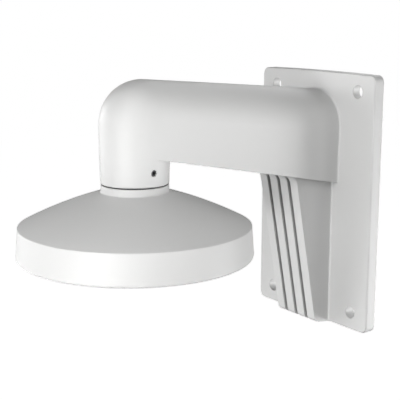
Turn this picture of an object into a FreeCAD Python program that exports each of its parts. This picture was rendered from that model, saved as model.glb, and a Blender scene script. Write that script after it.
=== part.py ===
import FreeCAD, Part
import math
import os
import re

import Sketcher

# Camera wall bracket
# One hollow aluminium casting carries a wall plate, a rising arm that bends down into a round neck,
# and a grooved gusset under the arm. A domed cap screws into the neck, sits on a rubber ring and is
# locked by a grub screw. The camera's base fixes to three bosses inside the cap.
#
# Frame: millimetres, +Z up. The origin is the middle of the plate's back face, the wall is the plane
# Y = 0, and the arm reaches out along -Y.

Vector = FreeCAD.Vector

doc = FreeCAD.newDocument("camera_wall_bracket")
sheet = doc.addObject("Spreadsheet::Sheet", "sizes")

# Driving dimensions, in millimetres and degrees
SIZES = {
    # wall plate
    "plate_width": 115.5,
    "plate_height": 182,
    "plate_crown": 0.7,
    "plate_thickness": 8.2,
    "plate_corner_radius": 5,
    "plate_edge_radius": 1.1,
    "plate_rim": 4,
    "plate_skin": 3.6,
    # the four holes for the wall screws
    "wall_hole_diameter": 9,
    "wall_hole_from_side": 16,
    "wall_hole_from_end": 12.5,
    "wall_hole_relief_diameter": 16,
    "wall_hole_relief_depth": 1.8,
    # shallow pockets in the plate's back
    "back_pocket_land": 4,
    "back_pocket_height": 41,
    "back_pocket_rib": 4,
    "back_pocket_count": 3,
    # arm
    "reach": 162,
    "arm_top": 77.6,
    "arm_underside": 11.4,
    "arm_top_rise": 5,
    "arm_underside_rise": 11.3,
    "arm_half_width": 26.3,
    "arm_foot_half_width": 25.5,
    "arm_wall": 4,
    "junction_radius": 1.3,
    # elbow and neck
    "elbow_radius": 28,
    "neck_radius": 22.4,
    "neck_foot_radius": 21.8,
    "neck_foot_height": 26.3,
    "neck_foot_edge_radius": 0.6,
    "thread_depth": 18,
    # gusset under the arm
    "gusset_width": 39.7,
    "gusset_foot_depth": 12.7,
    "gusset_front_slope": 11,
    "gusset_foot_rise": 6.5,
    "gusset_top_radius": 9,
    "gusset_foot_radius": 5.5,
    "gusset_top_sink": 0.1,
    "gusset_wall": 4,
    "groove_width": 3.1,
    "groove_depth": 3.4,
    "groove_count": 3,
    # cap
    "cap_rim_radius": 74.6,
    "cap_skirt_height": 20.4,
    "cap_skirt_flare": 1.5,
    "cap_dome_height": 21.4,
    "cap_dome_radius": 290,
    "cap_wall": 3.2,
    "cap_rim_edge_radius": 0.7,
    "cap_lower_edge_radius": 2,
    "collar_radius": 21.7,
    "collar_height": 4.7,
    "collar_blend_radius": 1,
    "collar_edge_radius": 0.4,
    "hub_radius": 19,
    "spigot_radius": 16.6,
    "spigot_clearance": 0.15,
    "spigot_height": 15,
    "cable_bore_radius": 12.5,
    # ribs and camera bosses inside the cap
    "rib_count": 6,
    "rib_thickness": 2.6,
    "rib_hub_depth": 7,
    "rib_skirt_depth": 5,
    "boss_count": 3,
    "boss_radius": 4.2,
    "boss_circle_radius": 50,
    "boss_seat_depth": 34,
    "boss_hole_radius": 1.65,
    "boss_hole_depth": 10,
    # rubber ring in the seam
    "seal_thickness": 0.8,
    "seal_inset": 0.7,
    # grub screw in the neck
    "set_screw_radius": 2,
    "set_screw_clearance": 0.1,
    "set_screw_length": 5,
    "set_screw_height": 35.2,
    "set_screw_socket": 2,
    "set_screw_socket_depth": 2.2,
    "set_screw_bevel": 0.3,
}

for row, (alias, value) in enumerate(SIZES.items(), start=1):
    sheet.set(f"A{row}", alias)
    sheet.set(f"B{row}", str(value))
    sheet.setAlias(f"B{row}", alias)
doc.recompute()


# Measures worked out from the sheet

def sized(text):
    """An expression for a feature: every name of the sheet gets the sheet's own name before it."""
    return re.sub(r"[a-z_]+", lambda name: f"sizes.{name[0]}" if name[0] in SIZES else name[0], text)


def number(text):
    """The value that an expression has now."""
    value = sheet.evalExpression(text)
    return float(getattr(value, "Value", value))


# The elbow turns about a line along X. It touches the arm's sloping top line and the neck's front.
ELBOW_OUT = "( reach + neck_radius - elbow_radius )"
ELBOW_UP = f"( arm_top + tan( arm_top_rise ) * {ELBOW_OUT} - elbow_radius / cos( arm_top_rise ) )"
# Half-round of the elbow: its middle lies this far outside the turning line
ELBOW_ROUND_MIDDLE = "( elbow_radius - neck_radius )"
# From the turning line down to the arm's underside, square to the arm's top line
ELBOW_UNDER = (
    f"( ( {ELBOW_UP} - arm_underside - tan( arm_underside_rise ) * {ELBOW_OUT} )"
    " / ( cos( arm_top_rise ) + tan( arm_underside_rise ) * sin( arm_top_rise ) ) )"
)
NECK_UNDER = "( arm_underside + tan( arm_underside_rise ) * reach )"
COLLAR_TOP = "( neck_foot_height - seal_thickness )"
STRIP_WIDTH = "( ( gusset_width - groove_count * groove_width ) / ( groove_count + 1 ) )"


# Helpers for sketches

def origin_plane(body, role):
    return [item for item in body.Origin.OriginFeatures if item.Role == role][0]


def new_sketch(body, name, role, away="0", tilt=None):
    """A sketch on one of the body's own origin planes, moved along its normal and perhaps tilted."""
    sketch = body.newObject("Sketcher::SketchObject", name)
    sketch.AttachmentSupport = (origin_plane(body, role), [""])
    sketch.MapMode = "FlatFace"
    sketch.setExpression("AttachmentOffset.Base.z", sized(away))
    if tilt:
        up, angle = tilt
        sketch.AttachmentOffset = FreeCAD.Placement(Vector(), FreeCAD.Rotation(Vector(1, 0, 0), -1))
        sketch.setExpression("AttachmentOffset.Base.y", sized(up))
        sketch.setExpression("AttachmentOffset.Rotation.Angle", sized(angle))
    return sketch


def hold(sketch, kind, geometry, position, text):
    """A horizontal or vertical distance from the sketch's origin, driven by the sheet."""
    index = sketch.addConstraint(
        Sketcher.Constraint(kind, -1, 1, geometry, position, number(text)))
    sketch.setExpression(f"Constraints[{index}]", sized(text))


def outline(sketch, corners, arcs=None):
    """A closed outline of straight sides. The sides named in arcs turn about a centre instead."""
    arcs = arcs or {}
    places = [Vector(number(across), number(up), 0) for across, up in corners]
    ends = []
    for side, start in enumerate(places):
        end = places[(side + 1) % len(places)]
        if side not in arcs:
            index = sketch.addGeometry(Part.LineSegment(start, end), False)
            ends.append((index, 1, 2))
            continue
        centre_across, centre_up, turn = arcs[side]
        centre = Vector(number(centre_across), number(centre_up), 0)
        first, last = (start, end) if turn == "left" else (end, start)
        angles = [math.atan2(place.y - centre.y, place.x - centre.x) for place in (first, last)]
        circle = Part.Circle(centre, Vector(0, 0, 1), (start - centre).Length)
        index = sketch.addGeometry(Part.ArcOfCircle(circle, *angles), False)
        ends.append((index, 1, 2) if turn == "left" else (index, 2, 1))
        chord = end - start
        if abs(chord.x) > abs(chord.y):
            hold(sketch, "DistanceY", index, 3, centre_up)
        else:
            hold(sketch, "DistanceX", index, 3, centre_across)
    for side, (index, start_point, end_point) in enumerate(ends):
        next_index, next_start, _ = ends[(side + 1) % len(ends)]
        sketch.addConstraint(Sketcher.Constraint("Coincident", index, end_point, next_index, next_start))
        hold(sketch, "DistanceX", index, start_point, corners[side][0])
        hold(sketch, "DistanceY", index, start_point, corners[side][1])


def circle(sketch, across, up, radius):
    """A circle whose middle and radius come from the sheet."""
    middle = Vector(number(across), number(up), 0)
    index = sketch.addGeometry(Part.Circle(middle, Vector(0, 0, 1), number(radius)), False)
    hold(sketch, "DistanceX", index, 3, across)
    hold(sketch, "DistanceY", index, 3, up)
    constraint = sketch.addConstraint(Sketcher.Constraint("Radius", index, number(radius)))
    sketch.setExpression(f"Constraints[{constraint}]", sized(radius))


def turning_line(sketch, start, end):
    """A construction line that a revolution turns about."""
    index = sketch.addGeometry(
        Part.LineSegment(*[Vector(number(across), number(up), 0) for across, up in (start, end)]), True)
    for position, (across, up) in enumerate((start, end), start=1):
        hold(sketch, "DistanceX", index, position, across)
        hold(sketch, "DistanceY", index, position, up)


def pad(body, name, sketch, length, midplane=False, reverse=False):
    feature = body.newObject("PartDesign::Pad", name)
    feature.Profile = sketch
    feature.Midplane = midplane
    feature.Reversed = reverse
    feature.setExpression("Length", sized(length))
    return feature


def pocket(body, name, sketch, length, midplane=False, reverse=False):
    feature = body.newObject("PartDesign::Pocket", name)
    feature.Profile = sketch
    feature.Midplane = midplane
    feature.Reversed = reverse
    feature.setExpression("Length", sized(length))
    return feature


def turned(body, name, kind, sketch, angle="360", reverse=False):
    """A revolution or a groove about the sketch's first construction line."""
    feature = body.newObject(f"PartDesign::{kind}", name)
    feature.Profile = sketch
    feature.ReferenceAxis = (sketch, ["Axis0"])
    feature.Reversed = reverse
    feature.setExpression("Angle", sized(angle))
    return feature


def row_of(body, name, original, sketch, axis, length, count):
    """Copies of one feature in a straight row along an axis of its sketch."""
    feature = body.newObject("PartDesign::LinearPattern", name)
    feature.Originals = [original]
    feature.Direction = (sketch, [axis])
    feature.setExpression("Length", sized(length))
    feature.setExpression("Occurrences", sized(count))
    body.Tip = feature
    return feature


def ring_of(body, name, originals, count):
    """Copies of features round the body's own Z axis."""
    feature = body.newObject("PartDesign::PolarPattern", name)
    feature.Originals = originals
    feature.Axis = (origin_plane(body, "Z_Axis"), [""])
    feature.Angle = 360
    feature.setExpression("Occurrences", sized(count))
    body.Tip = feature
    return feature


def edges_where(shape, test):
    return [f"Edge{index}" for index, edge in enumerate(shape.Edges, start=1) if test(edge)]


def near(value, target, slack=0.01):
    return abs(value - target) < slack


def rounded(body, name, base, names, radius):
    feature = body.newObject("PartDesign::Fillet", name)
    feature.Base = (base, names)
    feature.setExpression("Radius", sized(radius))
    doc.recompute()
    return feature


# Wall casting: plate, arm, elbow, neck and gusset in one piece

def arm_section(sketch, round_radius, round_middle, foot_half_width, foot_height):
    """An arch: half-round on top, straight sides that lean in a little, a flat foot."""
    quarter = ("0", round_middle, "left")
    outline(
        sketch,
        [
            (round_radius, round_middle),
            ("0", f"{round_middle} + {round_radius}"),
            (f"-1 * {round_radius}", round_middle),
            (f"-1 * {foot_half_width}", foot_height),
            (foot_half_width, foot_height),
        ],
        {0: quarter, 1: quarter},
    )


def gusset_profile(sketch, recess, foot_radius, top_radius):
    """Side view of the gusset: foot, sloping front and the concave blend into the arm's underside.

    The recess moves the front inwards, for the floor of the grooves."""
    back = "( -1 * plate_thickness / 2 )"
    # The front line: how far out it stands at the plate's lower edge, and its lean
    slope = "gusset_front_slope"
    foot = "( -1 * plate_height / 2 )"
    foot_out = f"( plate_thickness + gusset_foot_depth - {recess} / cos( {slope} ) )"
    # Rounded foot: the centre is one radius in from the front line and from the foot's rising line
    lift = "gusset_foot_rise"
    foot_middle_out = (
        f"( ( {foot_out} - {foot_radius} / cos( {slope} )"
        f" + tan( {slope} ) * ( {foot_radius} / cos( {lift} ) - plate_thickness * tan( {lift} ) ) )"
        f" / ( 1 - tan( {slope} ) * tan( {lift} ) ) )")
    foot_middle_up = (
        f"( {foot} + {foot_radius} / cos( {lift} )"
        f" + ( {foot_middle_out} - plate_thickness ) * tan( {lift} ) )")
    # Concave blend: the centre is one radius out from the front and one down from the underside
    rise = "arm_underside_rise"
    sunk_underside = "( arm_underside + gusset_top_sink )"
    a_front = f"( {foot_out} + {top_radius} / cos( {slope} ) + plate_height / 2 * tan( {slope} ) )"
    a_under = f"( {sunk_underside} - {top_radius} / cos( {rise} ) )"
    top_middle_out = (
        f"( ( {a_front} + {a_under} * tan( {slope} ) ) / ( 1 - tan( {slope} ) * tan( {rise} ) ) )")
    top_middle_up = f"( {a_under} + tan( {rise} ) * {top_middle_out} )"
    # Tangent points, in the sketch's own axes: across is -out, because the arm reaches along -Y
    def across(out):
        return f"( -1 * {out} )"
    foot_start = (
        across(f"( {foot_middle_out} + {foot_radius} * sin( {lift} ) )"),
        f"( {foot_middle_up} - {foot_radius} * cos( {lift} ) )",
    )
    foot_end = (
        across(f"( {foot_middle_out} + {foot_radius} * cos( {slope} ) )"),
        f"( {foot_middle_up} - {foot_radius} * sin( {slope} ) )",
    )
    blend_start = (
        across(f"( {top_middle_out} - {top_radius} * cos( {slope} ) )"),
        f"( {top_middle_up} + {top_radius} * sin( {slope} ) )",
    )
    blend_end = (
        across(f"( {top_middle_out} - {top_radius} * sin( {rise} ) )"),
        f"( {top_middle_up} + {top_radius} * cos( {rise} ) )",
    )
    inside_arm = f"( {blend_end[1]} + arm_wall / 2 )"
    outline(
        sketch,
        [
            (back, foot),
            (across("plate_thickness"), foot),
            foot_start,
            foot_end,
            blend_start,
            blend_end,
            (blend_end[0], inside_arm),
            (back, inside_arm),
        ],
        {
            2: (across(foot_middle_out), foot_middle_up, "right"),
            4: (across(top_middle_out), top_middle_up, "left"),
        },
    )


def make_wall_casting():
    body = doc.addObject("PartDesign::Body", "wall_casting")

    # Plate, its top edge slightly crowned
    plate = new_sketch(body, "plate_outline", "XZ_Plane")
    crown_radius = "( ( plate_width ^ 2 / 4 + plate_crown ^ 2 ) / ( 2 * plate_crown ) )"
    outline(
        plate,
        [
            ("-1 * plate_width / 2", "-1 * plate_height / 2"),
            ("plate_width / 2", "-1 * plate_height / 2"),
            ("plate_width / 2", "plate_height / 2 - plate_crown"),
            ("-1 * plate_width / 2", "plate_height / 2 - plate_crown"),
        ],
        {2: ("0", f"plate_height / 2 - {crown_radius}", "left")},
    )
    plate_pad = pad(body, "plate", plate, "plate_thickness")
    doc.recompute()
    corners = edges_where(plate_pad.Shape, lambda edge: near(edge.BoundBox.YLength,
                                                             number("plate_thickness")))
    rounded(body, "plate_corners", plate_pad, corners, "plate_corner_radius")

    # Gusset: a core at the depth of the grooves' floor, and strips in front of it
    core = new_sketch(body, "gusset_core_side", "YZ_Plane")
    gusset_profile(core, "groove_depth", "( gusset_foot_radius - groove_depth )",
                   "( gusset_top_radius + groove_depth )")
    pad(body, "gusset_core", core, "gusset_width", midplane=True)
    strip = new_sketch(body, "gusset_strip_side", "YZ_Plane",
                       away=f"-1 * gusset_width / 2 + {STRIP_WIDTH} / 2")
    gusset_profile(strip, "0", "gusset_foot_radius", "gusset_top_radius")
    strip_pad = pad(body, "gusset_strip", strip, STRIP_WIDTH, midplane=True)
    row_of(body, "gusset_strips", strip_pad, strip, "N_Axis",
           f"gusset_width - {STRIP_WIDTH}", "groove_count + 1")

    # Arm: an arch at the wall and a smaller arch at the elbow, square to the top line there
    wall_arch = new_sketch(body, "arch_at_wall", "XZ_Plane")
    arm_section(wall_arch, "arm_half_width", "( arm_top - arm_half_width )",
                "arm_foot_half_width", "arm_underside")
    elbow_arch = new_sketch(body, "arch_at_elbow", "XZ_Plane", away=ELBOW_OUT,
                            tilt=(ELBOW_UP, "-1 * arm_top_rise"))
    arm_section(elbow_arch, "neck_radius", ELBOW_ROUND_MIDDLE, "neck_radius",
                f"( -1 * {ELBOW_UNDER} )")
    arm = body.newObject("PartDesign::AdditiveLoft", "arm")
    arm.Profile = wall_arch
    arm.Sections = [elbow_arch]
    arm.Ruled = True

    # Elbow: the half-round turned about the elbow's line, from the neck's front up to the arm
    def elbow_profile(name, inset):
        sketch = new_sketch(body, name, "XY_Plane", away=ELBOW_UP)
        radius = f"( neck_radius - {inset} )"
        outline(
            sketch,
            [
                (f"-1 * {radius}", f"-1 * {ELBOW_OUT}"),
                (f"-1 * {radius}", "-1 * reach"),
                (radius, "-1 * reach"),
                (radius, f"-1 * {ELBOW_OUT}"),
            ],
            {1: ("0", "-1 * reach", "left")},
        )
        turning_line(sketch, (f"-1 * {radius}", f"-1 * {ELBOW_OUT}"), (radius, f"-1 * {ELBOW_OUT}"))
        return sketch

    turned(body, "elbow", "Revolution", elbow_profile("elbow_half_round", "0"),
           "90 + arm_top_rise", reverse=True)

    # Post: the neck's round front and the arm's flat sides, down to the level of the underside
    def post_outline(name, inset):
        sketch = new_sketch(body, name, "XY_Plane", away=ELBOW_UP)
        radius = f"( neck_radius - {inset} )"
        back = f"( -1 * {ELBOW_OUT} + arm_wall )"
        outline(
            sketch,
            [
                (f"-1 * {radius}", back),
                (f"-1 * {radius}", "-1 * reach"),
                (radius, "-1 * reach"),
                (radius, back),
            ],
            {1: ("0", "-1 * reach", "left")},
        )
        return sketch

    pad(body, "post", post_outline("post_outline", "0"), f"{ELBOW_UP} - {NECK_UNDER}", reverse=True)

    # Wedge: carries the arm's sloping underside on, from the elbow to the neck's middle
    wedge = new_sketch(body, "wedge_side", "YZ_Plane")
    wedge_start = f"( {ELBOW_OUT} - 2 * arm_wall )"
    outline(wedge, [
        ("-1 * reach", NECK_UNDER),
        (f"-1 * {wedge_start}", f"arm_underside + tan( arm_underside_rise ) * {wedge_start}"),
        (f"-1 * {wedge_start}", f"{NECK_UNDER} + arm_wall"),
        ("-1 * reach", f"{NECK_UNDER} + arm_wall"),
    ])
    pad(body, "wedge", wedge, "2 * neck_radius", midplane=True)

    # Neck: round all the way, and tapered towards its foot
    neck = new_sketch(body, "neck_half_section", "YZ_Plane")
    outline(neck, [
        ("-1 * reach", NECK_UNDER),
        ("-1 * ( reach + neck_radius )", NECK_UNDER),
        ("-1 * ( reach + neck_foot_radius )", "neck_foot_height"),
        ("-1 * reach", "neck_foot_height"),
    ])
    turning_line(neck, ("-1 * reach", "neck_foot_height"), ("-1 * reach", NECK_UNDER))
    neck_turned = turned(body, "neck", "Revolution", neck)
    doc.recompute()
    foot = number("neck_foot_height")
    foot_rounded = rounded(
        body, "neck_foot_edge", neck_turned,
        edges_where(neck_turned.Shape, lambda edge: near(edge.BoundBox.ZMin, foot)
                    and near(edge.BoundBox.ZMax, foot)),
        "neck_foot_edge_radius")

    # Small concave radius where the arm and the gusset's two sides leave the plate
    front = -number("plate_thickness")

    def on_plate_front(edge):
        return near(edge.BoundBox.YMin, front) and near(edge.BoundBox.YMax, front)

    def leaves_arm(edge):
        box = edge.BoundBox
        inside = max(abs(box.XMin), abs(box.XMax)) < number("arm_half_width") + 1
        return on_plate_front(edge) and inside and box.ZMin > 0 and box.ZLength > 1

    def leaves_gusset(side):
        def test(edge):
            box = edge.BoundBox
            stands = near(box.XMin, side * number("gusset_width / 2")) and near(box.XLength, 0)
            return on_plate_front(edge) and stands and box.ZLength > 1
        return test

    joined = rounded(body, "arm_junction", foot_rounded,
                     edges_where(foot_rounded.Shape, leaves_arm), "junction_radius")
    for side, name in ((1, "gusset_junction_right"), (-1, "gusset_junction_left")):
        joined = rounded(body, name, joined, edges_where(joined.Shape, leaves_gusset(side)),
                         "junction_radius")

    # Small convex radius round the plate's front
    def on_plate_rim(edge):
        box = edge.BoundBox
        at_side = near(max(abs(box.XMin), abs(box.XMax)), number("plate_width / 2"))
        at_end = near(max(abs(box.ZMin), abs(box.ZMax)), number("plate_height / 2"), 0.05)
        clear_of_gusset = max(abs(box.XMin), abs(box.XMax)) > number("gusset_width / 2") + 3
        return on_plate_front(edge) and (at_side or at_end) and clear_of_gusset

    rounded(body, "plate_front_edge", joined, edges_where(joined.Shape, on_plate_rim),
            "plate_edge_radius")

    # Hollow of the arm, elbow and neck for the cable, open at the plate's back
    wall_hollow = new_sketch(body, "hollow_at_wall", "XZ_Plane")
    arm_section(wall_hollow, "( arm_half_width - arm_wall )", "( arm_top - arm_half_width )",
                "( arm_foot_half_width - arm_wall )", "( arm_underside + arm_wall )")
    elbow_hollow = new_sketch(body, "hollow_at_elbow", "XZ_Plane", away=ELBOW_OUT,
                              tilt=(ELBOW_UP, "-1 * arm_top_rise"))
    arm_section(elbow_hollow, "( neck_radius - arm_wall )", ELBOW_ROUND_MIDDLE,
                "( neck_radius - arm_wall )", f"( arm_wall - {ELBOW_UNDER} )")
    arm_hollow = body.newObject("PartDesign::SubtractiveLoft", "arm_hollow")
    arm_hollow.Profile = wall_hollow
    arm_hollow.Sections = [elbow_hollow]
    arm_hollow.Ruled = True
    turned(body, "elbow_hollow", "Groove", elbow_profile("elbow_hollow_half_round", "arm_wall"),
           "90 + arm_top_rise", reverse=True)
    post_floor = f"( {NECK_UNDER} + arm_wall )"
    pocket(body, "post_hollow", post_outline("post_hollow_outline", "arm_wall"),
           f"{ELBOW_UP} - {post_floor}")
    bore = new_sketch(body, "neck_bore_half_section", "YZ_Plane")
    bore_radius = "( spigot_radius + spigot_clearance )"
    thread_end = "( neck_foot_height + thread_depth )"
    outline(bore, [
        ("-1 * reach", post_floor),
        ("-1 * ( reach + neck_radius - arm_wall )", post_floor),
        ("-1 * ( reach + neck_radius - arm_wall )", thread_end),
        (f"-1 * ( reach + {bore_radius} )", thread_end),
        (f"-1 * ( reach + {bore_radius} )", "neck_foot_height"),
        ("-1 * reach", "neck_foot_height"),
    ])
    turning_line(bore, ("-1 * reach", "neck_foot_height"), ("-1 * reach", post_floor))
    turned(body, "neck_bore", "Groove", bore)

    # Hollow of the gusset, cored from the plate's back
    gusset_hollow = new_sketch(body, "gusset_hollow_side", "YZ_Plane")
    core_wall = "( groove_depth + gusset_wall )"
    front_at_foot = f"( plate_thickness + gusset_foot_depth - {core_wall} / cos( gusset_front_slope ) )"
    hollow_top = "( arm_underside - gusset_wall )"
    outline(gusset_hollow, [
        ("0", "-1 * plate_height / 2 + gusset_wall"),
        (f"-1 * ( {front_at_foot} + gusset_wall * tan( gusset_front_slope ) )",
         "-1 * plate_height / 2 + gusset_wall"),
        (f"-1 * ( {front_at_foot} + ( plate_height / 2 + {hollow_top} ) * tan( gusset_front_slope ) )",
         hollow_top),
        ("0", hollow_top),
    ])
    pocket(body, "gusset_hollow", gusset_hollow, "gusset_width - 2 * gusset_wall", midplane=True)

    # Rows of pockets in the plate's back, beside the arm and the gusset
    pocket_in = "( arm_half_width + back_pocket_land )"
    pocket_out = "( plate_width / 2 - plate_rim )"
    pocket_step = "( back_pocket_height + back_pocket_rib )"
    first_low = f"( -1 * ( back_pocket_count * {pocket_step} - back_pocket_rib ) / 2 )"
    for side, sign in (("right", "1"), ("left", "-1")):
        cell = new_sketch(body, f"back_pocket_{side}_outline", "XZ_Plane")
        outline(cell, [
            (f"{sign} * {pocket_in}", first_low),
            (f"{sign} * {pocket_out}", first_low),
            (f"{sign} * {pocket_out}", f"{first_low} + back_pocket_height"),
            (f"{sign} * {pocket_in}", f"{first_low} + back_pocket_height"),
        ])
        cell_cut = pocket(body, f"back_pocket_{side}", cell, "plate_thickness - plate_skin",
                          reverse=True)
        row_of(body, f"back_pockets_{side}", cell_cut, cell, "V_Axis",
               f"( back_pocket_count - 1 ) * {pocket_step}", "back_pocket_count")

    # Holes for the wall screws, the upper two relieved at the back
    holes = new_sketch(body, "wall_hole_places", "XZ_Plane")
    reliefs = new_sketch(body, "wall_hole_relief_places", "XZ_Plane")
    for across in ("wall_hole_from_side - plate_width / 2", "plate_width / 2 - wall_hole_from_side"):
        for up in ("wall_hole_from_end - plate_height / 2", "plate_height / 2 - wall_hole_from_end"):
            circle(holes, across, up, "wall_hole_diameter / 2")
        circle(reliefs, across, up, "wall_hole_relief_diameter / 2")
    pocket(body, "wall_holes", holes, "plate_thickness", reverse=True)
    pocket(body, "wall_hole_reliefs", reliefs, "wall_hole_relief_depth", reverse=True)

    # Tapped hole for the grub screw, in the neck's +X side
    tapped = new_sketch(body, "set_screw_hole_place", "YZ_Plane")
    circle(tapped, "-1 * reach", "set_screw_height", "set_screw_radius + set_screw_clearance")
    pocket(body, "set_screw_hole", tapped, "neck_radius + arm_wall", reverse=True)
    return body


# Cap: turned blank, ribs and bosses inside, then the outer form

def make_cap():
    body = doc.addObject("PartDesign::Body", "cap")
    body.setExpression("Placement.Base.y", sized("-1 * reach"))
    body.setExpression("Placement.Base.z", sized(COLLAR_TOP))

    rim_low = "( -1 * ( collar_height + cap_dome_height ) )"
    skirt_low = f"( {rim_low} - cap_skirt_height )"
    skirt_radius = "( cap_rim_radius + cap_skirt_flare )"
    flare = "( cap_skirt_flare / cap_skirt_height )"
    top_radius = f"( cap_rim_radius + {flare} * {rim_low} )"
    # Middle of the dome's arc, from its two ends and its radius
    run = "( cap_rim_radius - collar_radius )"
    half_chord = f"( sqrt( {run} ^ 2 + cap_dome_height ^ 2 ) / 2 )"
    depth = f"( sqrt( cap_dome_radius ^ 2 - {half_chord} ^ 2 ) / ( 2 * {half_chord} ) )"
    dome_across = f"( ( collar_radius + cap_rim_radius ) / 2 - {depth} * cap_dome_height )"
    dome_up = f"( -1 * collar_height - cap_dome_height / 2 - {depth} * {run} )"
    # Inner face of the dome: the same middle, one wall less
    inner_radius = "( cap_dome_radius - cap_wall )"
    inner_rim = "( cap_rim_radius - cap_wall )"
    inner_rim_low = (
        f"( {dome_up} + sqrt( {inner_radius} ^ 2 - ( {inner_rim} - {dome_across} ) ^ 2 ) )")
    inner_hub_low = (
        f"( {dome_up} + sqrt( {inner_radius} ^ 2 - ( hub_radius - {dome_across} ) ^ 2 ) )")

    # Blank: spigot, block over the dome, skirt and the inner form
    blank = new_sketch(body, "blank_half_section", "XZ_Plane")
    outline(
        blank,
        [
            ("cable_bore_radius", "spigot_height"),
            ("cable_bore_radius", inner_hub_low),
            ("hub_radius", inner_hub_low),
            (inner_rim, inner_rim_low),
            (f"{skirt_radius} - cap_wall", skirt_low),
            (skirt_radius, skirt_low),
            (top_radius, "0"),
            ("spigot_radius", "0"),
            ("spigot_radius", "spigot_height"),
        ],
        {2: (dome_across, dome_up, "right")},
    )
    turning_line(blank, ("0", "0"), ("0", "spigot_height"))
    turned(body, "blank", "Revolution", blank)

    # Ribs from the hub to the skirt
    rib = new_sketch(body, "rib_side", "XZ_Plane")
    outline(rib, [
        ("( cable_bore_radius + hub_radius ) / 2", "-1 * collar_height"),
        ("( cable_bore_radius + hub_radius ) / 2", f"{inner_hub_low} - rib_hub_depth"),
        (f"{inner_rim}", f"{inner_rim_low} - rib_skirt_depth"),
        (f"{inner_rim} + cap_wall / 3", f"{inner_rim_low}"),
        (f"{inner_rim}", "-1 * collar_height"),
    ])
    rib_pad = pad(body, "rib", rib, "rib_thickness", midplane=True)
    ring_of(body, "ribs", [rib_pad], "rib_count")

    # Bosses that the camera's base is screwed to
    boss = new_sketch(body, "boss_place", "XY_Plane", away="-1 * boss_seat_depth")
    circle(boss, "0", "boss_circle_radius", "boss_radius")
    boss_pad = pad(body, "boss", boss, "boss_seat_depth - collar_height")
    ring_of(body, "bosses", [boss_pad], "boss_count")
    boss_hole = new_sketch(body, "boss_hole_place", "XY_Plane", away="-1 * boss_seat_depth")
    circle(boss_hole, "0", "boss_circle_radius", "boss_hole_radius")
    boss_hole_cut = pocket(body, "boss_hole", boss_hole, "boss_hole_depth", reverse=True)
    ring_of(body, "boss_holes", [boss_hole_cut], "boss_count")

    # Outer form: the collar and the dome cut out of the blank
    form = new_sketch(body, "outer_form_half_section", "XZ_Plane")
    outline(
        form,
        [
            ("collar_radius", "collar_height"),
            ("collar_radius", "-1 * collar_height"),
            ("cap_rim_radius", rim_low),
            ("cap_rim_radius + cap_wall", rim_low),
            ("cap_rim_radius + cap_wall", "collar_height"),
        ],
        {1: (dome_across, dome_up, "right")},
    )
    turning_line(form, ("0", "0"), ("0", "spigot_height"))
    outer = turned(body, "outer_form", "Groove", form)
    doc.recompute()

    # Edge radii: the collar's foot, the rim, the skirt's lower edge and the collar's top
    def ring_at(radius, up):
        def test(edge):
            box = edge.BoundBox
            return (near(box.ZMin, up) and near(box.ZMax, up)
                    and near(box.XMax, radius, 0.05) and near(box.YMax, radius, 0.05))
        return test

    blend = rounded(body, "collar_blend", outer,
                    edges_where(outer.Shape, ring_at(number("collar_radius"),
                                                     -number("collar_height"))),
                    "collar_blend_radius")
    rim = rounded(body, "rim_edge", blend,
                  edges_where(blend.Shape, ring_at(number("cap_rim_radius"), number(rim_low))),
                  "cap_rim_edge_radius")
    lower = rounded(body, "lower_edge", rim,
                    edges_where(rim.Shape, ring_at(number(skirt_radius), number(skirt_low))),
                    "cap_lower_edge_radius")
    rounded(body, "collar_edge", lower,
            edges_where(lower.Shape, ring_at(number("collar_radius"), 0)), "collar_edge_radius")
    return body


# Rubber ring between the neck's foot and the collar

def make_neck_seal():
    body = doc.addObject("PartDesign::Body", "neck_seal")
    body.setExpression("Placement.Base.y", sized("-1 * reach"))
    body.setExpression("Placement.Base.z", sized(COLLAR_TOP))
    ring = new_sketch(body, "ring_outline", "XY_Plane")
    circle(ring, "0", "0", "neck_foot_radius - seal_inset")
    circle(ring, "0", "0", "spigot_radius + spigot_clearance")
    pad(body, "ring", ring, "seal_thickness")
    return body


# Grub screw: its tip presses on the spigot

def make_set_screw():
    body = doc.addObject("PartDesign::Body", "set_screw")
    body.setExpression("Placement.Base.x", sized("spigot_radius"))
    body.setExpression("Placement.Base.y", sized("-1 * reach"))
    body.setExpression("Placement.Base.z", sized("set_screw_height"))
    shank = new_sketch(body, "shank_outline", "YZ_Plane")
    circle(shank, "0", "0", "set_screw_radius")
    shank_pad = pad(body, "shank", shank, "set_screw_length")
    doc.recompute()
    ends = body.newObject("PartDesign::Chamfer", "bevels")
    ends.Base = (shank_pad, edges_where(shank_pad.Shape, lambda edge: near(edge.BoundBox.XLength, 0)))
    ends.setExpression("Size", sized("set_screw_bevel"))
    socket = new_sketch(body, "socket_outline", "YZ_Plane", away="set_screw_length")
    across_corners = "set_screw_socket / ( 2 * cos( 30 ) )"
    outline(socket, [
        (f"{across_corners} * cos( {60 * corner} )", f"{across_corners} * sin( {60 * corner} )")
        for corner in range(6)
    ])
    pocket(body, "socket", socket, "set_screw_socket_depth")
    return body


PIECES = [make_wall_casting(), make_cap(), make_neck_seal(), make_set_screw()]
doc.recompute()

# Every object and every piece has to be sound before anything is written
for item in doc.Objects:
    if "Invalid" in item.State or "Error" in item.State:
        raise RuntimeError(f"{item.Name} did not build: {item.State}")
for piece in PIECES:
    if piece.Shape.isNull() or not piece.Shape.isValid() or len(piece.Shape.Solids) != 1:
        raise RuntimeError(f"{piece.Label} is not one sound solid")

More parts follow.
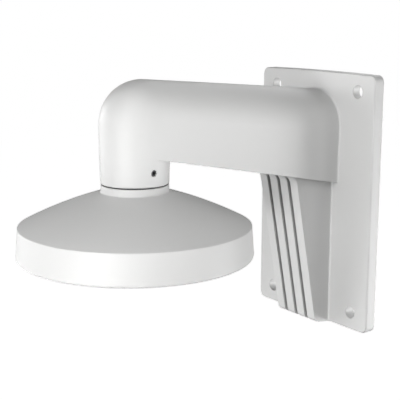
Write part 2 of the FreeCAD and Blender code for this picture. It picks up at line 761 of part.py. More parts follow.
os.makedirs("parts", exist_ok=True)
for piece in PIECES:
    piece.Shape.exportStep(f"parts/{piece.Label}.step")
    box = piece.Shape.BoundBox
    print(f"{piece.Label}: {piece.Shape.Volume:.0f} mm3, X {box.XMin:.2f} to {box.XMax:.2f},"
          f" Y {box.YMin:.2f} to {box.YMax:.2f}, Z {box.ZMin:.2f} to {box.ZMax:.2f}")
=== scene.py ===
import math

import bmesh
import bpy
from mathutils import Euler, Matrix, Vector


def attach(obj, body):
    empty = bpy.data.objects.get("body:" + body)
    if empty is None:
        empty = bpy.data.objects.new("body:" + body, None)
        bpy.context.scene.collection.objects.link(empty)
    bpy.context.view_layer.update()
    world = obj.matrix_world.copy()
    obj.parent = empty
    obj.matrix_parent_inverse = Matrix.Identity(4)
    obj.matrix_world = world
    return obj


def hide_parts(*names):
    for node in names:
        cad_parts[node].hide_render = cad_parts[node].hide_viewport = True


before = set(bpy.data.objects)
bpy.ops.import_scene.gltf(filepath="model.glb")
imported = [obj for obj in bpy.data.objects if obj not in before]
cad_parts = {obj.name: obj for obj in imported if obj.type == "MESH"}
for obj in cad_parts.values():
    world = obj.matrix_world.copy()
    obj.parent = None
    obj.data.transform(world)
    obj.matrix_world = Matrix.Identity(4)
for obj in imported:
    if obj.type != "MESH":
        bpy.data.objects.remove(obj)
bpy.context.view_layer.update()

# Wall casting
# Plate, arm, elbow, neck and grooved gusset are one hollow aluminium die casting, screwed to the wall
# at its four corners. It is shot-blasted and coated with a pale grey, matt polyester powder, which
# melts into a skin about 0.08 mm thick with a faint orange peel and rounds every edge a little.

# Sizes are in metres. Tone and the painted recess shade are shares of the full colour, and openness is
# the share of the space in front of a point that is free.
COAT_COLOUR = (0.56, 0.56, 0.556, 1.0)
COAT_SPECULAR = 0.35
COAT_ROUGHNESS = (0.45, 0.55)
COAT_EDGE_RADIUS = 0.0008
COAT_PEEL_SIZE = 0.0011
COAT_PEEL_DEPTH = 0.000012
COAT_PEEL_DETAIL = 2.0
# Painted shade: the coat's colour is darkened in grooves, holes and inner corners, where little space
# in front of a point is free
COAT_PAINTED_SHADE_REACH = 0.008
COAT_PAINTED_RECESS_SHADE = 0.3
COAT_PAINTED_SHADE_OPENNESS = (0.15, 0.5)
COAT_CLOUDS_PER_METRE = 22.0
COAT_CLOUD_DETAIL = 3.0
COAT_CLOUD_TONE = (0.985, 1.015)


def new_finish(name):
    """A new material, with the nodes and links of its tree and its shader."""
    material = bpy.data.materials.new(name)
    material.use_nodes = True
    tree = material.node_tree
    return material, tree.nodes, tree.links, tree.nodes["Principled BSDF"]


def spread(nodes, links, value, limits):
    """A node that turns a value between 0 and 1 into one between two limits."""
    node = nodes.new("ShaderNodeMapRange")
    node.inputs["To Min"].default_value, node.inputs["To Max"].default_value = limits
    links.new(value, node.inputs["Value"])
    return node


def powder_coat_group():
    """The coating's colour with painted shade in its recesses, its roughness and surface, for every
    material that is powder coated.
    """
    group = bpy.data.node_groups.new("powder_coat_surface", "ShaderNodeTree")
    group.interface.new_socket(name="Colour", in_out="INPUT", socket_type="NodeSocketColor")
    for name in ("Peel size", "Peel depth", "Edge radius", "Painted shade reach", "Painted recess shade"):
        group.interface.new_socket(name=name, in_out="INPUT", socket_type="NodeSocketFloat")
    group.interface.new_socket(name="Colour", in_out="OUTPUT", socket_type="NodeSocketColor")
    group.interface.new_socket(name="Roughness", in_out="OUTPUT", socket_type="NodeSocketFloat")
    group.interface.new_socket(name="Normal", in_out="OUTPUT", socket_type="NodeSocketVector")
    nodes, links = group.nodes, group.links
    given = nodes.new("NodeGroupInput")
    result = nodes.new("NodeGroupOutput")
    place = nodes.new("ShaderNodeTexCoord")

    # Melted powder: soft edges, then the orange peel on them
    soft_edges = nodes.new("ShaderNodeBevel")
    soft_edges.samples = 6
    links.new(given.outputs["Edge radius"], soft_edges.inputs["Radius"])
    peels_per_metre = nodes.new("ShaderNodeMath")
    peels_per_metre.operation = "DIVIDE"
    peels_per_metre.inputs[0].default_value = 1.0
    links.new(given.outputs["Peel size"], peels_per_metre.inputs[1])
    peel = nodes.new("ShaderNodeTexNoise")
    peel.inputs["Detail"].default_value = COAT_PEEL_DETAIL
    links.new(place.outputs["Object"], peel.inputs["Vector"])
    links.new(peels_per_metre.outputs["Value"], peel.inputs["Scale"])
    bump = nodes.new("ShaderNodeBump")
    links.new(soft_edges.outputs["Normal"], bump.inputs["Normal"])
    links.new(given.outputs["Peel depth"], bump.inputs["Distance"])
    links.new(peel.outputs["Fac"], bump.inputs["Height"])
    links.new(bump.outputs["Normal"], result.inputs["Normal"])

    # Painted shade: the colour is darkened in grooves, holes and inner corners, by how little of the
    # space in front of a point is free
    openness = nodes.new("ShaderNodeAmbientOcclusion")
    openness.samples = 12
    openness.only_local = True
    links.new(given.outputs["Painted shade reach"], openness.inputs["Distance"])
    painted_recess_shading = nodes.new("ShaderNodeMapRange")
    painted_recess_shading.inputs["From Min"].default_value = COAT_PAINTED_SHADE_OPENNESS[0]
    painted_recess_shading.inputs["From Max"].default_value = COAT_PAINTED_SHADE_OPENNESS[1]
    links.new(openness.outputs["AO"], painted_recess_shading.inputs["Value"])
    links.new(given.outputs["Painted recess shade"], painted_recess_shading.inputs["To Min"])

    # The colour clouds very slightly, and the gloss follows the peel
    cloud = nodes.new("ShaderNodeTexNoise")
    cloud.inputs["Scale"].default_value = COAT_CLOUDS_PER_METRE
    cloud.inputs["Detail"].default_value = COAT_CLOUD_DETAIL
    links.new(place.outputs["Object"], cloud.inputs["Vector"])
    clouding = spread(nodes, links, cloud.outputs["Fac"], COAT_CLOUD_TONE)
    # The clouding times the painted recess shade darkens the colour
    cloud_and_painted_shade = nodes.new("ShaderNodeMath")
    cloud_and_painted_shade.operation = "MULTIPLY"
    links.new(clouding.outputs["Result"], cloud_and_painted_shade.inputs[0])
    links.new(painted_recess_shading.outputs["Result"], cloud_and_painted_shade.inputs[1])
    clouded_and_shaded_colour = nodes.new("ShaderNodeVectorMath")
    clouded_and_shaded_colour.operation = "SCALE"
    links.new(given.outputs["Colour"], clouded_and_shaded_colour.inputs["Vector"])
    links.new(cloud_and_painted_shade.outputs["Value"], clouded_and_shaded_colour.inputs["Scale"])
    links.new(clouded_and_shaded_colour.outputs["Vector"], result.inputs["Colour"])
    gloss = spread(nodes, links, peel.outputs["Fac"], COAT_ROUGHNESS)
    links.new(gloss.outputs["Result"], result.inputs["Roughness"])
    return group


powder_coat, coat_nodes, coat_links, coat_shader = new_finish("matt_powder_coat")
coat_shader.inputs["Specular IOR Level"].default_value = COAT_SPECULAR
coat = coat_nodes.new("ShaderNodeGroup")
coat.node_tree = powder_coat_group()
# Sizes of the coat, with the reach and depth of its painted recess shade
for name, value in (("Colour", COAT_COLOUR), ("Peel size", COAT_PEEL_SIZE),
                    ("Peel depth", COAT_PEEL_DEPTH), ("Edge radius", COAT_EDGE_RADIUS),
                    ("Painted shade reach", COAT_PAINTED_SHADE_REACH), ("Painted recess shade", COAT_PAINTED_RECESS_SHADE)):
    coat.inputs[name].default_value = value
coat_links.new(coat.outputs["Colour"], coat_shader.inputs["Base Color"])
coat_links.new(coat.outputs["Roughness"], coat_shader.inputs["Roughness"])
coat_links.new(coat.outputs["Normal"], coat_shader.inputs["Normal"])

wall_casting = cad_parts["wall_casting"]
wall_casting.data.materials.clear()
wall_casting.data.materials.append(powder_coat)

# Mounting cap
# The round cap that the camera is screwed to: a second die casting, turned in form, with the same
# coating. A hollow spigot screws up into the neck, and ribs stiffen the thin dome from inside.

# Heights in the cap count from the collar's top, where it meets the neck seal
NECK_AXIS = Vector((0.0, -0.162, 0.0))
COLLAR_TOP = 0.0255
COLLAR_RADIUS = 0.0217
COLLAR_HEIGHT = 0.0047
COLLAR_TOP_EDGE = 0.0004
COLLAR_FOOT_FILLET = 0.001
DOME_HEIGHT = 0.0214
DOME_RADIUS = 0.29
DOME_STEPS = 22
DOME_INNER_FILLET = 0.0015
RIM_RADIUS = 0.0746
RIM_EDGE = 0.0007
SKIRT_HEIGHT = 0.0204
SKIRT_FLARE = 0.0015
SKIRT_OUTER_EDGE = 0.002
SKIRT_INNER_EDGE = 0.0006
CAP_WALL = 0.0032
CAP_SEGMENTS = 240
HUB_RADIUS = 0.019
SPIGOT_RADIUS = 0.0166
SPIGOT_HEIGHT = 0.015
SPIGOT_EDGE = 0.001
CABLE_BORE_RADIUS = 0.0125
CABLE_BORE_EDGE = 0.0006
ARC_STEPS = 6
ARC_LEAD = 0.12
SAME_POINT = 1e-7
SMOOTH_ANGLE = 32


def rounded_outline(corners):
    """A closed outline of (across, up, radius) corners, with an arc of short steps at each radius.

    A point just before and after each arc keeps the shading of the faces next to it flat."""
    points = []
    for index, (across, up, radius) in enumerate(corners):
        here = Vector((across, up))
        if radius == 0:
            points.append(here)
            continue
        before = (Vector(corners[index - 1][:2]) - here).normalized()
        after = (Vector(corners[(index + 1) % len(corners)][:2]) - here).normalized()
        half_angle = before.angle(after) / 2
        reach = radius / math.tan(half_angle)
        middle = here + (before + after).normalized() * radius / math.sin(half_angle)
        start, end = here + before * reach - middle, here + after * reach - middle
        turn = start.angle_signed(end)
        points.append(here + before * (reach + ARC_LEAD * radius))
        for step in range(ARC_STEPS + 1):
            angle = -turn * step / ARC_STEPS
            points.append(middle + Matrix.Rotation(angle, 2) @ start)
        points.append(here + after * (reach + ARC_LEAD * radius))
    return points


def turned_mesh(name, outline, segments):
    """A closed outline of (radius, height) turned about Z, with its axis points merged."""
    form = bmesh.new()
    rings = []
    for step in range(segments):
        angle = 2 * math.pi * step / segments
        rings.append([form.verts.new((radius * math.cos(angle), radius * math.sin(angle), height))
                      for radius, height in outline])
    for step in range(segments):
        ring, following = rings[step], rings[(step + 1) % segments]
        for index in range(len(outline)):
            after = (index + 1) % len(outline)
            form.faces.new((ring[index], following[index], following[after], ring[after]))
    bmesh.ops.remove_doubles(form, verts=form.verts, dist=SAME_POINT)
    bmesh.ops.dissolve_degenerate(form, edges=form.edges, dist=SAME_POINT)
    bmesh.ops.recalc_face_normals(form, faces=form.faces)
    mesh = bpy.data.meshes.new(name)
    form.to_mesh(mesh)
    form.free()
    return mesh


def smooth_by_angle(mesh, degrees):
    """Smooth shading, with a hard edge where two faces meet at more than the angle."""
    form = bmesh.new()
    form.from_mesh(mesh)
    for face in form.faces:
        face.smooth = True
    for edge in form.edges:
        edge.smooth = len(edge.link_faces) == 2 and edge.calc_face_angle() < math.radians(degrees)
    form.to_mesh(mesh)
    form.free()


# Dome: two arcs about one middle, so that the wall is even
rim_low = -COLLAR_HEIGHT - DOME_HEIGHT
run = RIM_RADIUS - COLLAR_RADIUS
half_chord = math.hypot(run, DOME_HEIGHT) / 2
depth = math.sqrt(DOME_RADIUS ** 2 - half_chord ** 2) / (2 * half_chord)
dome_middle = Vector(((COLLAR_RADIUS + RIM_RADIUS) / 2 - depth * DOME_HEIGHT,
                      -COLLAR_HEIGHT - DOME_HEIGHT / 2 - depth * run))


def dome_height(across, inset):
    """Height of the dome at a distance from the cap's axis, this far inside its outer face."""
    return dome_middle.y + math.sqrt((DOME_RADIUS - inset) ** 2 - (across - dome_middle.x) ** 2)


def dome_points(first, last, inset):
    """Points along the dome between two distances from the axis, without its two ends."""
    steps = [first + (last - first) * step / DOME_STEPS for step in range(1, DOME_STEPS)]
    return [(across, dome_height(across, inset), 0) for across in steps]


skirt_low = rim_low - SKIRT_HEIGHT
skirt_radius = RIM_RADIUS + SKIRT_FLARE
inner_rim = RIM_RADIUS - CAP_WALL
inner_rim_high = dome_height(inner_rim, CAP_WALL)
hub_low = dome_height(HUB_RADIUS, CAP_WALL)
cap_outline = rounded_outline(
    [(CABLE_BORE_RADIUS, SPIGOT_HEIGHT, CABLE_BORE_EDGE),
     (SPIGOT_RADIUS, SPIGOT_HEIGHT, SPIGOT_EDGE),
     (SPIGOT_RADIUS, 0, 0),
     (COLLAR_RADIUS, 0, COLLAR_TOP_EDGE),
     (COLLAR_RADIUS, -COLLAR_HEIGHT, COLLAR_FOOT_FILLET)]
    + dome_points(COLLAR_RADIUS, RIM_RADIUS, 0)
    + [(RIM_RADIUS, rim_low, RIM_EDGE),
       (skirt_radius, skirt_low, SKIRT_OUTER_EDGE),
       (skirt_radius - CAP_WALL, skirt_low, SKIRT_INNER_EDGE),
       (inner_rim, inner_rim_high, DOME_INNER_FILLET)]
    + dome_points(inner_rim, HUB_RADIUS, CAP_WALL)
    + [(HUB_RADIUS, hub_low, 0),
       (CABLE_BORE_RADIUS, hub_low, CABLE_BORE_EDGE)])
cap_shell = turned_mesh("cap_shell", cap_outline, CAP_SEGMENTS)

# Ribs: six cast webs from the hub to the skirt, thinner towards their free edge
RIB_COUNT = 6
RIB_THICKNESS = 0.0026
RIB_EDGE_THICKNESS = 0.002
RIB_HUB_DEPTH = 0.007
RIB_SKIRT_DEPTH = 0.005
RIB_TOP_INSET = CAP_WALL * 0.6
RIB_INTO_SKIRT = CAP_WALL / 3
RIB_STEPS = 24
RIB_EDGE_STEPS = 8


def rib_mesh():
    """One rib along +X: its top lies in the dome's wall, and its lower edge is rounded."""
    form = bmesh.new()
    sections = []
    start, end = (CABLE_BORE_RADIUS + HUB_RADIUS) / 2, inner_rim + RIB_INTO_SKIRT
    low_start, low_end = hub_low - RIB_HUB_DEPTH, inner_rim_high - RIB_SKIRT_DEPTH
    half, edge_half = RIB_THICKNESS / 2, RIB_EDGE_THICKNESS / 2
    for step in range(RIB_STEPS + 1):
        share = step / RIB_STEPS
        across = start + (end - start) * share
        high = dome_height(max(across, HUB_RADIUS), RIB_TOP_INSET)
        low = low_start + (low_end - low_start) * share
        section = [(half, high)]
        for turn in range(RIB_EDGE_STEPS + 1):
            angle = math.pi * turn / RIB_EDGE_STEPS
            section.append((edge_half * math.cos(angle),
                            low + edge_half - edge_half * math.sin(angle)))
        section.append((-half, high))
        sections.append([form.verts.new((across, side, up)) for side, up in section])
    for first, second in zip(sections, sections[1:]):
        for index in range(len(first)):
            after = (index + 1) % len(first)
            form.faces.new((first[index], first[after], second[after], second[index]))
    form.faces.new(sections[0])
    form.faces.new(list(reversed(sections[-1])))
    bmesh.ops.recalc_face_normals(form, faces=form.faces)
    mesh = bpy.data.meshes.new("rib")
    form.to_mesh(mesh)
    form.free()
    return mesh


# Bosses: three posts with tapped holes, which the camera's base is screwed to
BOSS_COUNT = 3
BOSS_RADIUS = 0.0042
BOSS_DRAFT = 0.0003
BOSS_EDGE = 0.0003
BOSS_CIRCLE_RADIUS = 0.05
BOSS_SEAT = -0.034
BOSS_TOP_INSET = CAP_WALL * 0.5
BOSS_HOLE_RADIUS = 0.002
BOSS_HOLE_DEPTH = 0.01
BOSS_DRILL_POINT = 0.001
BOSS_SEGMENTS = 48


def boss_mesh():
    """One boss on +Y, drafted, with a drilled hole. Its top follows the middle of the dome's wall."""
    hole_end = BOSS_SEAT + BOSS_HOLE_DEPTH
    mesh = turned_mesh("boss", rounded_outline([
        (0, hole_end + BOSS_DRILL_POINT, 0), (BOSS_HOLE_RADIUS, hole_end, 0),
        (BOSS_HOLE_RADIUS, BOSS_SEAT, BOSS_EDGE), (BOSS_RADIUS, BOSS_SEAT, BOSS_EDGE),
        (BOSS_RADIUS + BOSS_DRAFT, 0, 0), (0, 0, 0)]), BOSS_SEGMENTS)
    for vertex in mesh.vertices:
        at_top = vertex.co.z > BOSS_SEAT / 2
        place = vertex.co + Vector((0, BOSS_CIRCLE_RADIUS, 0))
        if at_top:
            place.z = dome_height(math.hypot(place.x, place.y), BOSS_TOP_INSET)
        vertex.co = place
    return mesh


def new_tree(name, sizes):
    """A Geometry Nodes tree with its nodes, its links and its named inputs."""
    tree = bpy.data.node_groups.new(name, "GeometryNodeTree")
    for label, kind in (("Geometry", "NodeSocketGeometry"), *sizes, ("Material", "NodeSocketMaterial")):
        tree.interface.new_socket(name=label, in_out="INPUT", socket_type=kind)
    tree.interface.new_socket(name="Geometry", in_out="OUTPUT", socket_type="NodeSocketGeometry")
    return tree, tree.nodes, tree.links, tree.nodes.new("NodeGroupInput")


def end_tree(tree, given, geometry):
    """The end of a tree: its copies made real, in the material that is given."""
    real = tree.nodes.new("GeometryNodeRealizeInstances")
    finish = tree.nodes.new("GeometryNodeSetMaterial")
    result = tree.nodes.new("NodeGroupOutput")
    tree.links.new(geometry, real.inputs["Geometry"])
    tree.links.new(real.outputs["Geometry"], finish.inputs["Geometry"])
    tree.links.new(given.outputs["Material"], finish.inputs["Material"])
    tree.links.new(finish.outputs["Geometry"], result.inputs["Geometry"])


def ring_tree():
    """Geometry Nodes that repeat a piece round Z."""
    tree, nodes, links, given = new_tree("ring_of_pieces", (("Count", "NodeSocketInt"),))
    places = nodes.new("GeometryNodePoints")
    number = nodes.new("GeometryNodeInputIndex")
    share_of_turn = nodes.new("ShaderNodeMath")
    share_of_turn.operation = "DIVIDE"
    share_of_turn.inputs[0].default_value = 2 * math.pi
    angle = nodes.new("ShaderNodeMath")
    angle.operation = "MULTIPLY"
    turn = nodes.new("ShaderNodeCombineXYZ")
    copies = nodes.new("GeometryNodeInstanceOnPoints")
    links.new(given.outputs["Count"], places.inputs["Count"])
    links.new(given.outputs["Count"], share_of_turn.inputs[1])
    links.new(number.outputs["Index"], angle.inputs[0])
    links.new(share_of_turn.outputs["Value"], angle.inputs[1])
    links.new(angle.outputs["Value"], turn.inputs["Z"])
    links.new(places.outputs["Points"], copies.inputs["Points"])
    links.new(given.outputs["Geometry"], copies.inputs["Instance"])
    links.new(turn.outputs["Vector"], copies.inputs["Rotation"])
    end_tree(tree, given, copies.outputs["Instances"])
    return tree


def evaluated(mesh, tree, values):
    """The plain mesh that a Geometry Nodes tree makes from a mesh."""
    carrier = bpy.data.objects.new("carrier", mesh)
    bpy.context.scene.collection.objects.link(carrier)
    modifier = carrier.modifiers.new("nodes", "NODES")
    modifier.node_group = tree
    for socket in tree.interface.items_tree:
        if socket.in_out == "INPUT" and socket.name in values:
            modifier[socket.identifier] = values[socket.name]
    bpy.context.view_layer.update()
    graph = bpy.context.evaluated_depsgraph_get()
    made = bpy.data.meshes.new_from_object(carrier.evaluated_get(graph))
    bpy.data.objects.remove(carrier)
    return made


def joined_object(name, meshes, place, material):
    """One object at the origin: meshes joined, moved to their place and given one material."""
    form = bmesh.new()
    for mesh in meshes:
        form.from_mesh(mesh)
    for face in form.faces:
        face.material_index = 0
    mesh = bpy.data.meshes.new(name)
    form.to_mesh(mesh)
    form.free()
    mesh.transform(place)
    mesh.materials.append(material)
    piece = bpy.data.objects.new(name, mesh)
    bpy.context.scene.collection.objects.link(piece)
    return piece


ring_of_pieces = ring_tree()
ribs = evaluated(rib_mesh(), ring_of_pieces, {"Count": RIB_COUNT, "Material": powder_coat})
bosses = evaluated(boss_mesh(), ring_of_pieces, {"Count": BOSS_COUNT, "Material": powder_coat})
for mesh in (cap_shell, ribs, bosses):
    smooth_by_angle(mesh, SMOOTH_ANGLE)
collar_place = Matrix.Translation(NECK_AXIS + Vector((0, 0, COLLAR_TOP)))
cap = joined_object("mounting_cap", (cap_shell, ribs, bosses), collar_place, powder_coat)
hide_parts("cap")
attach(cap, "root")

# Neck seal
# A flat ring of black rubber between the neck's foot and the cap's collar, squeezed so that its edge
# bulges a little. From outside it is the dark line all round the neck.

SEAL_RADIUS = 0.0211
SEAL_BORE_RADIUS = 0.01675
SEAL_THICKNESS = 0.0008
SEAL_EDGE = 0.0003
SEAL_SEGMENTS = 144
RUBBER_COLOURS = ((0.02, 0.02, 0.02, 1), (0.05, 0.05, 0.049, 1))
RUBBER_ROUGHNESS = (0.65, 0.85)
RUBBER_SPECULAR = 0.35
RUBBER_GRAINS_PER_METRE = 900.0
RUBBER_GRAIN_DETAIL = 3.0
RUBBER_GRAIN_DEPTH = 0.00002


def mottled(nodes, links, shader, spots_per_metre, detail, colours, roughness):
    """A noise on the piece that the shader's colour and roughness both follow."""
    place = nodes.new("ShaderNodeTexCoord")
    spots = nodes.new("ShaderNodeTexNoise")
    spots.inputs["Scale"].default_value = spots_per_metre
    spots.inputs["Detail"].default_value = detail
    colour = nodes.new("ShaderNodeValToRGB")
    for stop, shade in zip(colour.color_ramp.elements, colours):
        stop.color = shade
    links.new(place.outputs["Object"], spots.inputs["Vector"])
    links.new(spots.outputs["Fac"], colour.inputs["Fac"])
    links.new(colour.outputs["Color"], shader.inputs["Base Color"])
    gloss = spread(nodes, links, spots.outputs["Fac"], roughness)
    links.new(gloss.outputs["Result"], shader.inputs["Roughness"])
    return spots


seal_rubber, rubber_nodes, rubber_links, rubber_shader = new_finish("black_rubber")
rubber_shader.inputs["Specular IOR Level"].default_value = RUBBER_SPECULAR
rubber_grain = mottled(rubber_nodes, rubber_links, rubber_shader, RUBBER_GRAINS_PER_METRE,
                       RUBBER_GRAIN_DETAIL, RUBBER_COLOURS, RUBBER_ROUGHNESS)
rubber_bump = rubber_nodes.new("ShaderNodeBump")
rubber_bump.inputs["Distance"].default_value = RUBBER_GRAIN_DEPTH
rubber_links.new(rubber_grain.outputs["Fac"], rubber_bump.inputs["Height"])
rubber_links.new(rubber_bump.outputs["Normal"], rubber_shader.inputs["Normal"])

seal_mesh = turned_mesh("neck_ring", rounded_outline([
    (SEAL_BORE_RADIUS, 0, 0), (SEAL_RADIUS, 0, SEAL_EDGE),
    (SEAL_RADIUS, SEAL_THICKNESS, SEAL_EDGE), (SEAL_BORE_RADIUS, SEAL_THICKNESS, 0)]), SEAL_SEGMENTS)
smooth_by_angle(seal_mesh, SMOOTH_ANGLE)
neck_ring = joined_object("neck_ring", (seal_mesh,), collar_place, seal_rubber)
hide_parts("neck_seal")
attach(neck_ring, "root")

# Grub screw
# An M4 steel screw with a 2 mm hexagon socket and a cupped point, driven in flush from the neck's
# side until it bites on the spigot, so that the cap can't turn. It is rolled, hardened and oiled.

SCREW_RADIUS = 0.002
SCREW_LENGTH = 0.005
SCREW_START = 0.0166
SCREW_UP = 0.0352
SCREW_THREAD_DEPTH = 0.00035
SCREW_THREAD_START = 0.0004
SCREW_THREAD_TURNS = 5.7
SCREW_PITCH = 0.0007
SCREW_CUP_DEPTH = 0.0006
SCREW_POINT_CHAMFER = 0.0004
SCREW_HEAD_CHAMFER = (0.0002, 0.0003)
SCREW_SEGMENTS = 48
SCREW_SMOOTH_ANGLE = 25
SOCKET_ACROSS_FLATS = 0.002
SOCKET_DEPTH = 0.0022
SOCKET_CHAMFER = (0.00006, 0.0001)
SOCKET_DRILL_POINT = 0.0004
SOCKET_SIDE_TURN = math.pi / 3
SOCKET_TOLERANCE = 1e-6
THREAD_SIDES = 4
THREAD_STEPS_PER_TURN = 36
STEEL_COLOURS = ((0.08, 0.08, 0.083, 1), (0.2, 0.2, 0.206, 1))
STEEL_ROUGHNESS = (0.3, 0.5)
STEEL_SPOTS_PER_METRE = 1400.0
STEEL_SPOT_DETAIL = 4.0

screw_steel, steel_nodes, steel_links, steel_shader = new_finish("oiled_steel")
steel_shader.inputs["Metallic"].default_value = 1.0
mottled(steel_nodes, steel_links, steel_shader, STEEL_SPOTS_PER_METRE, STEEL_SPOT_DETAIL,
        STEEL_COLOURS, STEEL_ROUGHNESS)


def thread_tree():
    """Geometry Nodes that sweep a thread's ridge along a helix about Z."""
    sizes = [(label, "NodeSocketFloat") for label in ("Radius", "Pitch", "Turns", "Ridge")]
    tree, nodes, links, given = new_tree("screw_thread", sizes)
    height = nodes.new("ShaderNodeMath")
    height.operation = "MULTIPLY"
    helix = nodes.new("GeometryNodeCurveSpiral")
    helix.inputs["Resolution"].default_value = THREAD_STEPS_PER_TURN
    ridge = nodes.new("GeometryNodeCurvePrimitiveCircle")
    ridge.inputs["Resolution"].default_value = THREAD_SIDES
    sweep = nodes.new("GeometryNodeCurveToMesh")
    sweep.inputs["Fill Caps"].default_value = True
    both = nodes.new("GeometryNodeJoinGeometry")
    links.new(given.outputs["Pitch"], height.inputs[0])
    links.new(given.outputs["Turns"], height.inputs[1])
    links.new(given.outputs["Turns"], helix.inputs["Rotations"])
    links.new(given.outputs["Radius"], helix.inputs["Start Radius"])
    links.new(given.outputs["Radius"], helix.inputs["End Radius"])
    links.new(height.outputs["Value"], helix.inputs["Height"])
    links.new(given.outputs["Ridge"], ridge.inputs["Radius"])
    links.new(helix.outputs["Curve"], sweep.inputs["Curve"])
    links.new(ridge.outputs["Curve"], sweep.inputs["Profile Curve"])
    links.new(given.outputs["Geometry"], both.inputs["Geometry"])
    links.new(sweep.outputs["Mesh"], both.inputs["Geometry"])
    end_tree(tree, given, both.outputs["Geometry"])
    return tree


core_radius = SCREW_RADIUS - SCREW_THREAD_DEPTH
socket_corner = SOCKET_ACROSS_FLATS / math.sqrt(3)
socket_low = SCREW_LENGTH - SOCKET_DEPTH
shank = turned_mesh("shank", rounded_outline([
    (0, SCREW_CUP_DEPTH, 0),
    (core_radius - SCREW_POINT_CHAMFER, 0, 0),
    (core_radius, SCREW_POINT_CHAMFER, 0),
    (core_radius, SCREW_LENGTH - SCREW_HEAD_CHAMFER[1], 0),
    (core_radius - SCREW_HEAD_CHAMFER[0], SCREW_LENGTH, 0),
    (socket_corner + SOCKET_CHAMFER[0], SCREW_LENGTH, 0),
    (socket_corner, SCREW_LENGTH - SOCKET_CHAMFER[1], 0),
    (socket_corner, socket_low, 0),
    (0, socket_low - SOCKET_DRILL_POINT, 0)]), SCREW_SEGMENTS)
for vertex in shank.vertices:
    # The socket's round wall is pressed into a hexagon
    radius = math.hypot(vertex.co.x, vertex.co.y)
    if math.isclose(radius, socket_corner, abs_tol=SOCKET_TOLERANCE):
        angle = math.atan2(vertex.co.y, vertex.co.x) % SOCKET_SIDE_TURN - SOCKET_SIDE_TURN / 2
        flat = SOCKET_ACROSS_FLATS / 2 / math.cos(angle)
        vertex.co.x *= flat / radius
        vertex.co.y *= flat / radius
shank.transform(Matrix.Translation((0, 0, -SCREW_THREAD_START)))
screw_mesh = evaluated(shank, thread_tree(), {
    "Radius": core_radius, "Pitch": SCREW_PITCH, "Turns": SCREW_THREAD_TURNS,
    "Ridge": SCREW_THREAD_DEPTH, "Material": screw_steel})
smooth_by_angle(screw_mesh, SCREW_SMOOTH_ANGLE)
screw_place = NECK_AXIS + Vector((SCREW_START + SCREW_THREAD_START, 0, SCREW_UP))
grub_screw = joined_object(
    "grub_screw", (screw_mesh,),
    Matrix.Translation(screw_place) @ Matrix.Rotation(math.pi / 2, 4, "Y"), screw_steel)
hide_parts("set_screw")
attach(grub_screw, "root")

# Floor
# A plain pale studio floor, well below the bracket, which hangs free of it. To the camera it is plain
# white, and it throws the lamps' light back up as pale paint does.

FLOOR_HEIGHT = -1.2
FLOOR_HALF_WIDTH = 8
FLOOR_COLOUR = (0.9, 0.9, 0.9, 1)
WHITE = (1, 1, 1, 1)

floor_mesh = bpy.data.meshes.new("floor")
floor_form = bmesh.new()
bmesh.ops.create_grid(floor_form, x_segments=1, y_segments=1, size=FLOOR_HALF_WIDTH)
floor_form.to_mesh(floor_mesh)
floor_form.free()
floor_mesh.transform(Matrix.Translation((0, 0, FLOOR_HEIGHT)))
floor = bpy.data.objects.new("floor", floor_mesh)
bpy.context.scene.collection.objects.link(floor)
floor_paint, floor_nodes, floor_links, floor_shader = new_finish("floor_paint")
floor_shader.inputs["Base Color"].default_value = FLOOR_COLOUR
floor_shader.inputs["Emission Color"].default_value = WHITE
floor_rays = floor_nodes.new("ShaderNodeLightPath")
floor_links.new(floor_rays.outputs["Is Camera Ray"], floor_shader.inputs["Emission Strength"])
floor_mesh.materials.append(floor_paint)

# Light
# Nine soft round lamps stand all round: small ones close in front, larger ones at both sides and one
# behind. The room itself is white to the camera and dark to everything else.

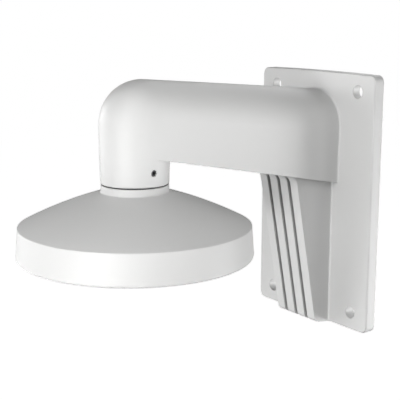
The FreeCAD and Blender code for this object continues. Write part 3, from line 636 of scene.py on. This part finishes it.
LIGHTS_AIM = Vector((0, -0.1, 0))
LIGHTS = (
    # name, azimuth, elevation, distance, width, watts
    ("front_low_light", 24, -15, 0.5, 0.3, 1.46),
    ("front_light", 24, 15, 0.5, 0.3, 0.6),
    ("wide_front_light", 24, 5, 1.2, 1.0, 3.34),
    ("front_high_light", 54, 45, 0.5, 0.3, 0.99),
    ("right_light", 114, 10, 2.5, 0.8, 9.98),
    ("right_low_light", 144, -20, 0.9, 0.4, 6.26),
    ("back_light", 204, 30, 1.2, 1.0, 6.57),
    ("left_light", -66, 10, 0.9, 0.4, 4.0),
    ("left_low_light", -66, -25, 1.2, 1.0, 5.74),
)
for name, azimuth, elevation, distance, width, watts in LIGHTS:
    lamp = bpy.data.lights.new(name, "AREA")
    lamp.shape = "DISK"
    lamp.size = width
    lamp.energy = watts
    light = bpy.data.objects.new(name, lamp)
    bpy.context.scene.collection.objects.link(light)
    turn, lift = math.radians(azimuth), math.radians(elevation)
    back = Vector((math.sin(turn) * math.cos(lift), -math.cos(turn) * math.cos(lift), math.sin(lift)))
    light.location = LIGHTS_AIM + back * distance
    light.rotation_euler = back.to_track_quat("Z", "Y").to_euler()
    light.visible_camera = False

world = bpy.data.worlds.new("studio")
bpy.context.scene.world = world
world.use_nodes = True
room = world.node_tree.nodes["Background"]
room.inputs["Color"].default_value = WHITE
room_rays = world.node_tree.nodes.new("ShaderNodeLightPath")
world.node_tree.links.new(room_rays.outputs["Is Camera Ray"], room.inputs["Strength"])

# Camera
# It stands in front of the bracket and to its right, a little above it, and looks slightly down and
# towards the wall, from where the photograph was taken.

CAMERA_PLACE = (0.49993, -0.48002, 0.13684)
CAMERA_AZIMUTH = math.radians(53.55)
CAMERA_ELEVATION = math.radians(11.64)
CAMERA_ROLL = math.radians(0.15)
CAMERA_LENS = 85.471
CAMERA_SENSOR = 36

camera_data = bpy.data.cameras.new("camera")
camera_data.sensor_width = CAMERA_SENSOR
camera_data.lens = CAMERA_LENS
camera = bpy.data.objects.new("camera", camera_data)
bpy.context.scene.collection.objects.link(camera)
camera.location = CAMERA_PLACE
aim = (Euler((math.pi / 2 - CAMERA_ELEVATION, 0, CAMERA_AZIMUTH)).to_matrix()
       @ Matrix.Rotation(CAMERA_ROLL, 3, "Z"))
camera.rotation_euler = aim.to_euler()
bpy.context.scene.camera = camera
bpy.context.scene.view_settings.view_transform = "Standard"
